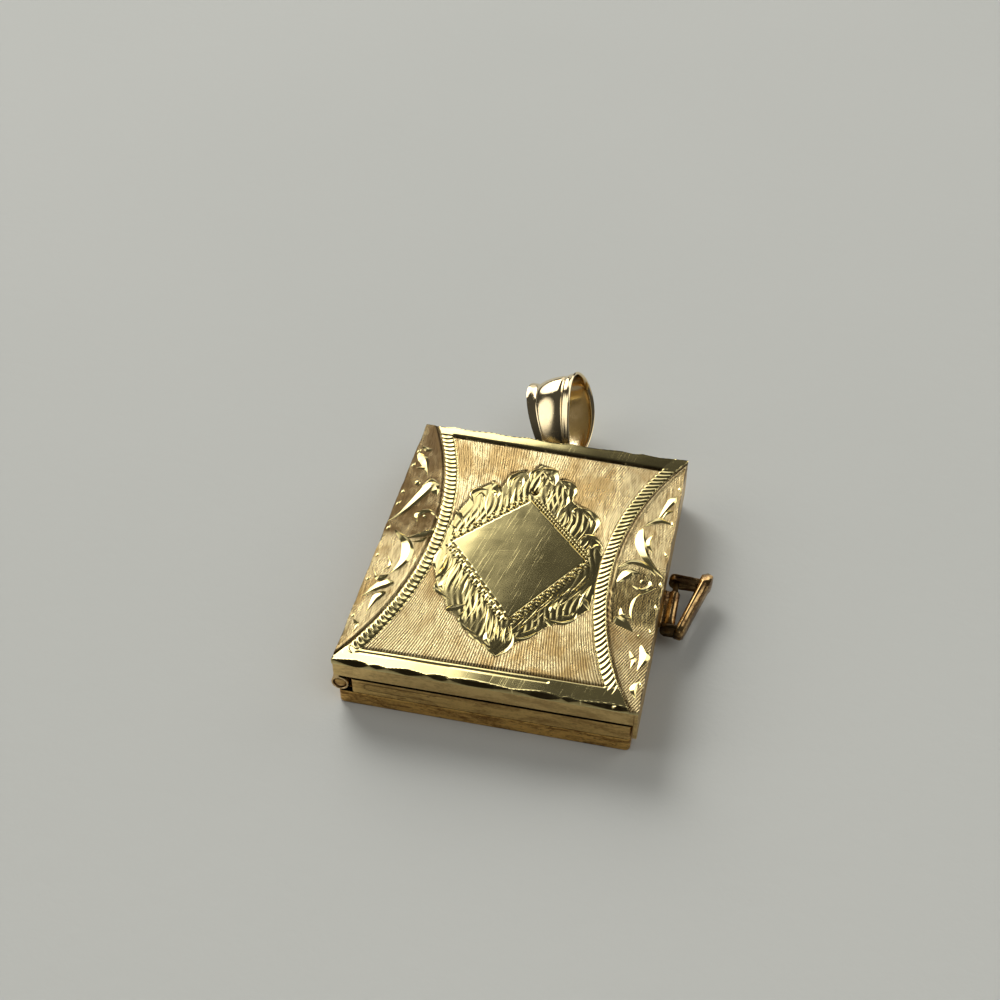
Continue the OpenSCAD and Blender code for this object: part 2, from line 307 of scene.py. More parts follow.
def engraved():
    """The lid's face: satin hatching, polished cuts, scratches on the polish, brown dirt and painted
    shade in the hollows. The mesh carries how satin each point is, its place across the hatch, how
    clearly the hatch is ruled there, and how much dirt and painted shade darkens it."""
    n = Nodes("gold_engraved")
    satin, across, lined, dirt = (n.attribute(key) for key in ("satin", "across", "lined", "dirt"))
    wobble = n.noise((0.5, 0.25, 1.0), 2, 0.5)
    line = n.times(n.math("SINE", n.times(n.times(wobble, 0.9, across), math.tau)), lined)
    grain = n.noise((8.0, 0.7, 1.0), 4, 0.7, turn=(0, 0, 4))
    hatch = n.times(line, 0.4, n.times(grain, 1.6))
    clouds = n.noise((0.28, 0.16, 1.0), 4, 0.62, warp=0.8)
    patch = n.noise((0.9, 0.5, 1.0), 3, 0.6)
    warm = n.between(n.times(patch, 0.4, clouds), 0.6, 0.82)
    field = n.mix(warm, (0.8, 0.66, 0.35), (0.48, 0.33, 0.13))
    groove = n.times(n.between(hatch, 0.42, 1.0, 0.92, 0.0), satin)
    colour = n.mix(satin, (0.93, 0.79, 0.36), n.mix(groove, field, (0.19, 0.125, 0.045)))
    # Dirt and painted shade: this map darkens the colour towards brown-black, for real dirt and for
    # shade in grooves, gaps and hollows.
    grime_and_shade = n.times(dirt, n.between(patch, 0.25, 0.6, 0.7, 1.0))
    scratch = n.between(n.noise((0.3, 15.0, 1.0), 2, 0.5, turn=(0, 0, 79)), 0.6, 0.82)
    cross = n.between(n.noise((0.3, 13.0, 1.0), 2, 0.5, turn=(0, 0, 12)), 0.68, 0.88)
    smear = n.noise((0.35, 0.6, 1.0), 3, 0.6)
    polish_rough = n.times(smear, 0.08, n.times(scratch, 0.06, 0.05))
    rough = n.add("ShaderNodeMix", {0: satin, 2: polish_rough, 3: n.times(patch, 0.12, 0.22)})
    normal = n.bump(n.noise((0.35, 0.35, 1.0), 2, 0.4), 0.012)
    normal = n.bump(n.times(hatch, satin), 0.042, normal)
    normal = n.bump(n.math("ADD", scratch, cross), 0.0008, normal)
    return n.finish(n.mix(grime_and_shade, colour, (0.085, 0.05, 0.015)), rough.outputs[0], normal, Metallic=1.0)


def card_stock():
    n = Nodes("card_stock")
    fibre = n.noise((4.0, 4.0, 4.0), 5, 0.7)
    mottle = n.times(n.noise((0.3, 0.3, 1.0), 3, 0.5), 0.7, n.times(fibre, 0.3))
    return n.finish(n.mix(mottle, (0.86, 0.82, 0.72), (0.7, 0.64, 0.52)),
                    n.between(fibre, 0.2, 0.8, 0.75, 0.92), n.bump(fibre, 0.02))


def clear_sheet():
    n = Nodes("clear_sheet")
    marks = n.between(n.noise((0.3, 6.0, 3.0), 2, 0.5, turn=(0, 0, 24)), 0.6, 0.75)
    return n.finish((0.96, 0.97, 0.96), n.times(marks, 0.1, 0.03), n.bump(marks, 0.002), IOR=1.46,
                    **{"Transmission Weight": 1.0})


ENGRAVED = engraved()
LID_SIDE = gold("gold_lid_side", (0.74, 0.53, 0.22), 0.34, 0.45, speckle=0.15)
BASE_SIDE = gold("gold_base", (0.78, 0.48, 0.14), 0.34, 0.85, speckle=0.6)
LEAF_SIDE = gold("gold_leaf", (0.74, 0.5, 0.18), 0.34, 0.6, speckle=0.35)
HINGE = gold("gold_hinge", (0.72, 0.52, 0.26), 0.28, 0.45)
WIRE = gold("gold_wire", (0.6, 0.38, 0.14), 0.3, 0.6)
BEZEL = gold("gold_bezel", (0.88, 0.68, 0.35), 0.16, 0.2, waves=0.006)
BAIL = gold("gold_bail", (0.9, 0.74, 0.45), 0.05, 0.1, brush_depth=0.001, waves=0.006,
            deep=(0.42, 0.19, 0.08))
# The loop's near-black patina, which covers most of it, is partly its own patina and partly painted
# shade.
LOOP = gold("gold_loop", (0.52, 0.34, 0.14), 0.06, 0.95, brush_depth=0.002,
            deep=(0.09, 0.035, 0.012))
CARD = card_stock()
CLEAR = clear_sheet()

# ---- the lid's face

PLATE_LOW, PLATE_HIGH = box("lid_plate")
HALF_X, HALF_Y, TOP = PLATE_HIGH
FIELD = TOP - 0.17      # level of the satin field; the raised work stands on it
STRETCH = HALF_Y / 12.25    # the pattern is drawn 24.5 high and stretched to the lid's height

# The ropes are arcs through three points, with the middle one nearest the rhombus
ROPES = {
    "left": ((-9.35, 12.1), (-6.68, 0.8), (-10.3, -11.8)),
    "right": ((10.3, 12.0), (6.5, -0.5), (9.6, -12.0)),
}
RHOMBUS = np.array([(-0.52, 5.52), (-5.52, 0.23), (0.4, -6.15), (4.8, 0.35)])
HOLE = (-0.45, 6.5)     # at the head of the rhombus


def circle_through(a, b, c):
    (ax, ay), (bx, by), (cx, cy) = a, b, c
    d = 2 * (ax * (by - cy) + bx * (cy - ay) + cx * (ay - by))
    sa, sb, sc = ax * ax + ay * ay, bx * bx + by * by, cx * cx + cy * cy
    x = (sa * (by - cy) + sb * (cy - ay) + sc * (ay - by)) / d
    y = (sa * (cx - bx) + sb * (ax - cx) + sc * (bx - ax)) / d
    return x, y, math.hypot(ax - x, ay - y)


def rope_offset(side, x, y):
    """How far a point is from a rope's middle line, positive towards the lid's centre."""
    cx, cy, r = circle_through(*ROPES[side])
    return np.hypot(x - cx, y - cy) - r


def rope_x(side, y):
    cx, cy, r = circle_through(*ROPES[side])
    reach = np.sqrt(r * r - (y - cy) ** 2)
    return cx + reach if side == "left" else cx - reach


def inside(poly, x, y):
    """Which points lie inside a polygon."""
    hit = np.zeros(x.shape, bool)
    for (ax, ay), (bx, by) in zip(poly, np.roll(poly, -1, 0)):
        crosses = (ay > y) != (by > y)
        with np.errstate(divide="ignore", invalid="ignore"):
            hit ^= crosses & (x < (bx - ax) * (y - ay) / (by - ay) + ax)
    return hit


def outline_distance(poly, x, y):
    """Distance from a closed outline."""
    best = np.full(x.shape, np.inf)
    for a, b in zip(poly, np.roll(poly, -1, 0)):
        d = b - a
        t = held(((x - a[0]) * d[0] + (y - a[1]) * d[1]) / d.dot(d))
        best = np.minimum(best, np.hypot(x - a[0] - t * d[0], y - a[1] - t * d[1]))
    return best


# Outer limit of the leafwork round the rhombus, clockwise from the top curl
LEAFWORK = np.array([
    (-1.35, 8.2), (-0.6, 9.45), (0.55, 9.1), (1.05, 8.0), (1.6, 8.25), (2.4, 7.9), (2.8, 7.0),
    (2.65, 6.1), (3.3, 5.65), (4.2, 5.3), (5.15, 4.1), (5.0, 2.9), (5.8, 2.0), (6.1, 0.4),
    (6.1, -2.0), (6.0, -4.2), (5.3, -5.0), (4.5, -5.8), (3.6, -6.0), (2.9, -6.8), (1.7, -7.9),
    (1.2, -8.4), (0.3, -9.6), (-0.9, -8.7), (-2.0, -8.2), (-2.9, -7.2), (-3.5, -6.6),
    (-4.2, -6.2), (-4.6, -5.3), (-5.5, -4.6), (-5.7, -3.8), (-6.2, -2.4), (-6.3, 0.2),
    (-6.0, 3.0), (-5.4, 4.6), (-5.3, 5.6), (-4.5, 6.3), (-3.9, 6.9), (-3.2, 6.3), (-2.95, 7.2),
    (-2.7, 8.1), (-1.6, 8.6)])

# Nicks along each edge of the lid, between which the edge is cut in flat facets
NICKS = {
    "front": (-11.0, -8.2, -6.9, -4.0, -2.4, 2.1, 5.6, 6.9, 11.0),
    "back": (-11.0, -8.6, -5.35, -2.3, 1.4, 5.4, 7.2, 11.0),
    "left": (-12.25, -8.1, -4.6, -2.2, 0.6, 3.2, 4.5, 7.5, 9.1, 12.25),
    "right": (-12.25, -10.0, -7.8, -5.4, -3.1, -0.9, 2.0, 5.2, 9.0, 12.25),
}


def facet_cut(h, dark, along, away, nicks, slope, size):
    """Lowers h where facets cut the edge, leaving a slight burr along each, and paints them dark as
    shade.
    away is the distance in from the edge."""
    for k, (a, b) in enumerate(zip(nicks, nicks[1:])):
        deep = size * min(0.42, 0.16 + 0.1 * (b - a)) * (0.88 + 0.12 * math.sin(2.4 * k + 1))
        s = np.clip((along - (a + b) / 2) / ((b - a) / 2), -1.01, 1.01)
        bow = 1 - np.abs(s - 0.3 * math.sin(3.7 * k + 2) * (1 - s * s)) ** (1.7 + 0.6 * math.sin(5 * k))
        flat = -0.06 - deep * bow + slope * away
        here = np.abs(s) <= 1
        burr = 0.014 * bell(flat - h - 0.04, 0.05)
        # Painted shade: the facets are painted dark.
        dark = np.where(here & (flat < h - 0.02), 0.92, dark)
        h = np.where(here, np.minimum(h + burr, flat), h)
    return h, dark


def lid_relief(x, y):
    """Height below the lid's top, and the satin, hatch and dirt-and-shade maps, on a grid of points."""
    from_front, from_back = y + HALF_Y, HALF_Y - y
    y = y / STRETCH
    h = np.full(x.shape, FIELD - TOP)
    left, right = rope_offset("left", x, y), rope_offset("right", x, y)
    middle = (left > 0.5) & (right > 0.5)
    in_left, in_right = left < -0.5, right < -0.5
    # Step lines and the polished bands beyond them
    low_line = -10.72 + 0.012 * x
    high_line = 11.1 - 0.024 * x
    band = np.maximum(low_line - y, y - high_line)
    on_band = (band > 0) & ~in_left & ~in_right
    h = np.where(on_band, h + np.where(y < 0, 0.06 + 0.052 * band,
                                       0.11 - 0.05 * np.clip(band - 0.4, 0, 2) ** 1.5), h)
    h -= 0.12 * bell(band + 0.03, 0.09) * middle
    h -= 0.05 * bell(low_line - 0.42 - y, 0.05) * middle * (x < 4.4)
    # Outer line of each rope
    outer = np.where(x < 0, left, right)
    h += 0.07 * bell(outer + 0.78, 0.09)
    h -= 0.07 * bell(outer + 0.6, 0.07)
    # Leafwork: a shallow bed with darker strokes, and a groove round it
    bed = inside(LEAFWORK, x, y)
    panel = inside(RHOMBUS, x, y)
    border_gap = outline_distance(LEAFWORK, x, y)
    strokes = np.sin(math.tau * (x + 0.3 * np.sin(1.1 * y) + 0.08 * np.abs(y) * np.sign(x)) / 0.46)
    strokes = strokes * bed * held(3 * border_gap - 0.9)
    strokes = strokes * (0.55 + 0.45 * np.sin(1.9 * x - 1.3 * y + 1.2 * np.sin(0.8 * x)))
    h = np.where(bed, h - 0.05 - 0.008 * strokes, h)
    h -= 0.07 * bell(border_gap - 0.05, 0.07) * ~bed
    h = np.where(panel, FIELD - TOP + 0.02, h)
    # Uneven hand-worked surface
    h += 0.006 * np.sin(0.9 * x + 0.5 * y) * np.sin(0.7 * y - 0.3 * x + 1)
    hole = (x - HOLE[0]) ** 2 + (y - HOLE[1]) ** 2
    h -= 0.24 * np.exp(-hole / 0.06)
    # Edges
    dark = np.zeros(x.shape)
    for side, along, away, slope, size in (
            ("front", x, from_front, 1.5, 1.0), ("back", x, from_back, 1.4, 0.6),
            ("left", y, x + HALF_X, 1.5, 0.5), ("right", y, HALF_X - x, 1.5, 0.6)):
        h = np.minimum(h, -0.05 + 1.2 * away)
        h, dark = facet_cut(h, dark, along, away, NICKS[side], slope, size)
    satin = np.where((middle & (band < 0) & ~bed) | in_left | in_right, 1.0, 0.0)
    # The side panels are worn bright and brown in places, and ruled only at the lower right
    brown = in_left * (0.1 + 0.9 * held(y + 0.6))
    worn = in_right * held(0.8 - y) * held(y + 5.6)
    satin = satin * (1 - 0.6 * worn)
    lined = np.where(in_left | in_right, 0.15, 0.35 + 0.65 * held((1.5 - y) / 3.5))
    lined = np.where(in_right & (y < -5), 1.0, lined)
    # Place across the hatch, counted in lines. They fan out between the ropes, 0.165 apart where the
    # ropes are 14.4 apart, and slant outside them
    xl, xr = rope_x("left", y), rope_x("right", y)
    fan = (x - (xl + xr) / 2) / (xr - xl) * 14.4
    tilt = math.radians(62)
    slant = x * math.sin(tilt) - y * math.cos(tilt)
    across = np.where(in_right | in_left, slant / 0.175, fan / 0.165)
    # Dirt and painted shade: painted shade along the step lines and in the rope's outer groove; wear
    # and brown in the side panels; the field darker towards the upper right.
    dirt = 0.9 * bell(band, 0.12) * middle
    dirt += 0.8 * bell(outer + 0.6, 0.08) + 0.5 * worn + 0.85 * brown
    dirt += 0.34 * in_right + 0.22 * in_left
    dirt += 0.34 * middle * held((x + 0.8 * y - 9) / 4)
    # The leafwork's bed is darker, most in the low lines between its strokes; the edge facets are
    # painted dark as shade; painted shade in the hole and in the groove round the leafwork.
    dirt = np.maximum(dirt + (0.42 + 0.26 * strokes) * (bed & ~panel), dark)
    dirt += 1.5 * np.exp(-hole / 0.09)
    dirt += 0.8 * bell(border_gap - 0.05, 0.08) * ~bed
    return h, satin, across, lined, held(dirt)


def lid_face():
    fine, coarse = 0.045, 0.088
    margin = 0.45       # width of the finer grid along each edge
    fine_ticks = np.arange(0, margin - fine / 2, fine)

    def ticks(half):
        inner = half - margin
        core = np.linspace(-inner, inner, int(round(2 * inner / coarse)) + 1)
        return np.concatenate([fine_ticks - half, core, half - fine_ticks[::-1]])

    x, y = np.meshgrid(ticks(HALF_X), ticks(HALF_Y))
    h, satin, across, lined, dirt = lid_relief(x, y)
    points, faces, rim = slab(np.stack([x, y, TOP + h], 2), PLATE_LOW[2])
    m = len(rim)
    obj = piece("lid_face", [(points, faces)], ENGRAVED, "lid", "engraved_gold", ("lid_plate",),
                crease=40, satin=np.append(satin, np.full(m, 0.4)),
                lined=np.append(lined, np.zeros(m)),
                across=np.append(across, across.ravel()[rim]),
                dirt=np.append(dirt, np.full(m, 0.15)))
    on_rim = set(rim)
    for edge in obj.data.edges:
        if on_rim.issuperset(edge.vertices):
            edge.use_edge_sharp = True


class Raised:
    """Raised cuts that stand on the lid's face, collected into one mesh with its maps."""

    def __init__(self, level=0.0):
        self.shells, self.dirt, self.level = [], [], FIELD + level

    def sheet(self, grid, dirt):
        """grid is rows of points (x, y, height above the field)."""
        grid = np.array(grid, float) * (1, STRETCH, 1)
        grid[..., 2] = np.minimum(self.level + grid[..., 2], TOP)
        points, faces, rim = slab(grid, self.level - 0.2)
        self.shells.append((points, faces))
        # The walls below each cut are painted fully dark, as shade at its foot.
        self.dirt += [dirt] * (len(points) - len(rim)) + [1.0] * len(rim)

    def cut(self, points, width, height, lean, head, count, blunt=0.5, dirt=0.0):
        """A leaf-shaped ridge along a curve. head is where it is widest; height is a limit, since
        narrow cuts are low. lean moves the crest off the middle: towards the lower right where it
        is positive, so the broad side, slightly hollow as a gouge leaves it, faces the upper left."""
        line = smooth_path(points, count)
        along = np.gradient(line, axis=0)
        along /= np.linalg.norm(along, axis=1)[:, None] + 1e-9
        side = np.stack([along[:, 1], -along[:, 0]], 1)
        t = np.linspace(0, 1, count)
        taper = np.where(t < head, (t / head) ** blunt, ((1 - t) / (1 - head)) ** 0.75)
        half = width / 2 * np.maximum(taper, 0.03)
        rise = np.minimum(height, 0.34 * half * (1 + abs(lean)))
        rows = []
        for p, s, w, z in zip(line, side, half, rise):
            crest = -lean * np.clip(1.6 * s.dot((-0.8, 0.6)), -1, 1)
            rows.append([(*(p + s * w * a), z * b if b > 0 else -0.03) for a, b in (
                (-1, -0.04), ((crest - 1) / 2, 0.44), (crest, 1.0), ((crest + 1) / 2, 0.44),
                (1, -0.04))])
        self.sheet(rows, dirt)

    def bead(self, x, y, r, height, dirt=0.0):
        """A small grain with a round top."""
        sides = 9
        cos, sin = circle(sides)
        shell = loft([np.column_stack([x + r * share * cos, (y + r * share * sin) * STRETCH,
                                       np.full(sides, self.level + height * z)])
                      for share, z in ((1.0, -0.05), (0.95, 0.25), (0.7, 0.72), (0.35, 0.95))])
        self.shells.append(shell)
        # The grain's lowest ring is painted fully dark, as shade at its foot.
        self.dirt += [1.0] * sides + [dirt] * (len(shell[0]) - sides)

    def build(self, name, crease):
        piece(name, self.shells, ENGRAVED, "lid", "engraved_gold", crease=crease,
              satin=np.zeros(len(self.dirt)), dirt=self.dirt)


def rope(side):
    """A band of C-shaped stitches along an arc, each a ridge with a long and a short face."""
    cx, cy, r = circle_through(*ROPES[side])
    a0, a1 = (math.atan2(y - cy, x - cx) for x, y in ROPES[side][::2])
    if side == "right":
        a0, a1 = a0 % math.tau, a1 % math.tau
    pitch, half_width = 0.475, 0.52
    steps, long_face = 9, 0.76      # of each stitch: rows of points, and the share of its long face
    curl, slant = (0.45, -0.28) if side == "left" else (0.35, -0.8)
    count = int(abs(a1 - a0) * r / pitch)
    rows = []
    for q in np.arange(count * steps + 1) / steps:
        row = []
        for w in np.linspace(-1, 1, 13):
            phase = (q + (curl * w * w + slant * w)) % 1.0
            tooth = phase / long_face if phase < long_face else (1 - phase) / (1 - long_face)
            shake = 1 + 0.1 * math.sin(7.3 * math.floor(q) + 2 * w)
            z = (1 - w ** 4) ** 0.5 * (0.03 + 0.07 * tooth * shake) - (0.05 if abs(w) == 1 else 0)
            a = a0 + (a1 - a0) * q / count
            rr = r + w * half_width * (1 + 0.03 * math.sin(5.1 * math.floor(q)))
            row.append((cx + rr * math.cos(a), cy + rr * math.sin(a), z))
        rows.append(row)
    work = Raised()
    work.sheet(rows, 0.0)
    # Painted shade: the low parts between the stitches are painted dark.
    deep = np.array(rows)[..., 2].ravel()
    work.dirt[:len(deep)] = 0.95 * held(1.35 - deep / 0.045)
    work.build(f"rope_{side}", 50)


def border():
    """The grained border of the rhombus: slanting grains on three edges, beads on the fourth."""
    work = Raised()
    bead_pitch, grain_pitch = 0.29, 0.56
    for k in range(4):
        a, b = RHOMBUS[k], RHOMBUS[(k + 1) % 4]
        length = np.hypot(*(b - a))
        along = (b - a) / length
        out = np.array([along[1], -along[0]])
        # A thin bright line where the polish meets the border
        work.cut([p + out * 0.03 for p in (a, (a + b) / 2, b)], width=0.09, height=0.05,
                 lean=0, head=0.5, count=12, blunt=0.1)
        if k == 3:      # upper right: a double row of beads
            for row, off in enumerate((0.2, 0.47)):
                for i in range(int(length / bead_pitch)):
                    p = a + along * (i + 0.5 + row * 0.5) * bead_pitch + out * off
                    work.bead(*p, 0.13, 0.09, dirt=0.1 + 0.25 * (i % 3 == row))
            continue
        count = int(length / grain_pitch)
        for i in range(count):
            p = a + along * ((i + 0.5) * length / count)
            tilt = 0.22 + 0.1 * math.sin(3.1 * i + k)
            work.cut([p + out * 0.08 - along * tilt, p + out * 0.36,
                      p + out * 0.7 + along * tilt * (0.6 + 0.4 * math.sin(2 * i))],
                     width=0.38, height=0.16, lean=0.35, head=0.4, count=9, blunt=0.6)
            work.bead(*(p + out * 0.18 + along * 0.26), 0.13, 0.08)
            work.bead(*(p + out * 0.55 - along * 0.2), 0.1, 0.07, dirt=0.2)
    work.build("rhombus_border", 32)


# Curled rims of the leafwork: width, lean, where it is widest, and its points
CURLS = (
    # top curl, a double rim on each side
    (0.34, -0.2, 0.6, (-1.05, 7.5), (-1.2, 8.5), (-0.55, 9.2)),
    (0.2, -0.2, 0.6, (-0.85, 7.9), (-0.85, 8.6), (-0.4, 8.95)),
    (0.5, 0.35, 0.45, (-0.5, 9.15), (0.5, 9.15), (1.0, 8.3), (0.95, 7.45)),
    (0.36, -0.3, 0.7, (-0.35, 8.85), (0.35, 8.3), (0.85, 7.5)),
    # next curl to the left
    (0.38, -0.2, 0.5, (-2.6, 6.3), (-2.75, 7.5), (-2.2, 8.3), (-1.45, 8.55)),
    (0.2, -0.2, 0.6, (-2.45, 6.6), (-2.4, 7.5), (-1.9, 8.1)),
    (0.26, 0.2, 0.3, (-1.7, 7.9), (-1.55, 7.2), (-1.75, 6.2)),
    # the round curl at the upper left, and the leaf above it
    (0.42, -0.2, 0.6, (-4.9, 4.3), (-5.35, 5.3), (-4.9, 5.95), (-4.1, 6.0)),
    (0.28, 0.2, 0.6, (-5.0, 5.0), (-4.7, 5.55), (-4.3, 5.3), (-4.1, 4.6)),
    (0.62, 0.3, 0.35, (-4.1, 6.95), (-3.6, 6.5), (-3.2, 5.8), (-3.2, 5.3)),
    (0.34, 0.3, 0.4, (-3.95, 5.95), (-3.5, 5.8), (-3.5, 5.3)),
    # right of the top
    (0.42, 0.3, 0.5, (1.2, 8.15), (2.1, 8.05), (2.7, 7.3), (2.6, 6.4)),
    (0.4, -0.3, 0.55, (1.35, 7.95), (1.9, 7.4), (2.25, 6.6)),
    (0.3, 0.3, 0.3, (2.25, 6.6), (2.35, 5.9), (2.15, 5.3)),
    # small curl and the big upper right lobe
    (0.3, -0.2, 0.7, (3.25, 4.5), (2.95, 5.1), (3.4, 5.6)),
    (0.44, 0.3, 0.6, (3.3, 5.6), (4.3, 5.3), (5.1, 4.3), (4.85, 3.0)),
    (0.32, -0.3, 0.6, (3.8, 5.0), (4.4, 4.5), (4.6, 3.6)),
    (0.36, 0.2, 0.5, (4.3, 2.9), (5.0, 2.8), (5.8, 2.2)),
    (0.42, 0.2, 0.5, (5.0, 1.6), (5.5, 1.9), (5.95, 1.1)),
    # left tip
    (0.42, 0.2, 0.4, (-6.1, 3.4), (-5.6, 2.9), (-5.2, 2.2)),
    (0.36, 0.2, 0.4, (-6.25, 1.8), (-5.7, 1.6), (-5.5, 0.9)),
    # lower left: leaves and lobes
    (0.62, 0.2, 0.45, (-6.15, -0.5), (-6.35, -1.8), (-5.9, -2.9)),
    (0.5, -0.3, 0.6, (-5.35, -1.2), (-5.35, -2.6), (-5.9, -3.6)),
    (0.42, -0.3, 0.35, (-5.6, -3.6), (-5.55, -4.5), (-4.9, -4.9), (-4.2, -5.3)),
    (0.46, 0.2, 0.6, (-4.9, -3.2), (-5.2, -4.0), (-4.9, -4.6)),
    (0.56, 0.2, 0.5, (-4.35, -6.2), (-3.6, -5.9), (-2.9, -5.45)),
    (0.46, -0.3, 0.4, (-2.85, -6.0), (-3.0, -7.0), (-2.4, -7.6), (-1.6, -7.9)),
    (0.34, -0.3, 0.4, (-2.1, -8.0), (-1.4, -8.35), (-0.8, -8.95)),
    (0.46, 0.2, 0.5, (-0.9, -7.6), (-0.7, -8.3), (-0.3, -8.8)),
    (0.3, -0.2, 0.4, (-0.9, -8.7), (-0.2, -9.25), (0.25, -9.65)),
    (0.34, 0.3, 0.4, (0.3, -9.55), (0.95, -9.0), (1.2, -8.2), (1.05, -7.4)),
    # lower right: lobes with bright lower rims
    (0.36, 0.3, 0.5, (1.3, -7.8), (2.1, -7.6), (2.75, -6.9)),
    (0.26, -0.2, 0.5, (1.6, -7.3), (2.3, -6.9), (2.6, -6.3)),
    (0.3, 0.2, 0.3, (2.95, -5.5), (3.5, -6.1), (4.15, -6.7)),
    (0.36, 0.3, 0.5, (3.4, -5.7), (4.4, -5.75), (5.1, -5.3), (5.2, -4.7)),
    (0.46, -0.2, 0.4, (3.25, -5.1), (3.35, -4.5), (3.6, -3.9)),
    (0.26, -0.2, 0.5, (4.0, -5.2), (4.7, -5.1), (5.0, -4.6)),
    (0.42, 0.2, 0.5, (5.0, -2.9), (5.6, -3.6), (6.05, -4.3)),
    (0.4, -0.2, 0.6, (5.2, -4.3), (5.35, -3.2), (5.75, -1.9)),
)


def leafwork():
    """Curls, lobes and fine strokes round the rhombus."""
    work = Raised(-0.04)
    for width, lean, head, *points in CURLS:
        work.cut(points, width * 1.25, height=0.19, lean=lean + 0.1, head=head, count=18)
    # Small grains in the lobes
    for x, y in ((-0.25, 7.95), (-1.8, 7.3), (0.7, 6.8), (4.2, -4.6), (3.9, -4.2), (0.3, 7.4)):
        work.bead(x, y, r=0.1, height=0.07)
    # Fine strokes from the border out towards the curls: where they start, and where they aim
    for count, roots, tips in (
            (34, [(-5.6, 1.3), (-4.1, 2.9), (-2.3, 4.6), (-0.5, 6.6), (0.9, 5.0), (2.3, 3.5),
                  (3.9, 2.0), (5.1, 0.9)],
             [(-5.1, 3.6), (-4.5, 5.2), (-2.3, 7.5), (-0.3, 8.6), (1.3, 7.3), (2.7, 5.4),
              (4.4, 3.4), (5.4, 1.6)]),
            (30, [(-5.9, -0.7), (-4.9, -1.5), (-3.5, -3.0), (-2.2, -4.4), (-0.9, -5.9),
                  (0.1, -7.0), (0.9, -6.6)],
             [(-6.0, -1.8), (-5.2, -4.0), (-3.6, -5.4), (-2.4, -7.2), (-0.7, -8.3), (0.4, -8.9),
              (1.2, -7.7)])):
        a, b = smooth_path(roots, count), smooth_path(tips, count)
        for i in range(1, count - 1):
            p, q = a[i], a[i] + (b[i] - a[i]) * (0.62 + 0.35 * math.sin(2.7 * i + 1) ** 2)
            bow = np.array([0.16 * math.sin(1.9 * i), 0.0])
            work.cut([p, (p + q) / 2 + bow, q], width=0.22 + 0.08 * math.sin(3.3 * i), height=0.11,
                     lean=0.2 * (-1) ** i, head=0.35 + 0.3 * (i % 2), count=8,
                     dirt=0.0 if i % 4 else 0.5)
    # Long parallel strokes along the lower right edge
    for i in range(22):
        s = i / 21
        start = np.array([0.55 + 4.6 * s, -7.6 + 5.2 * s ** 0.9])
        start = start + np.array([0.35, -0.3]) * math.sin(2.3 * i)
        reach = 1.5 + 0.7 * math.sin(1.7 * i + 2)
        step = np.array([0.5 + 0.12 * math.sin(i), 0.86]) * reach
        work.cut([start, start + step / 2 + (0.05, -0.03), start + step], width=0.16, height=0.1,
                 lean=0.2 * (-1) ** i, head=0.5, count=8, dirt=0.35 * (i % 3 == 0))
    work.build("leafwork", 26)


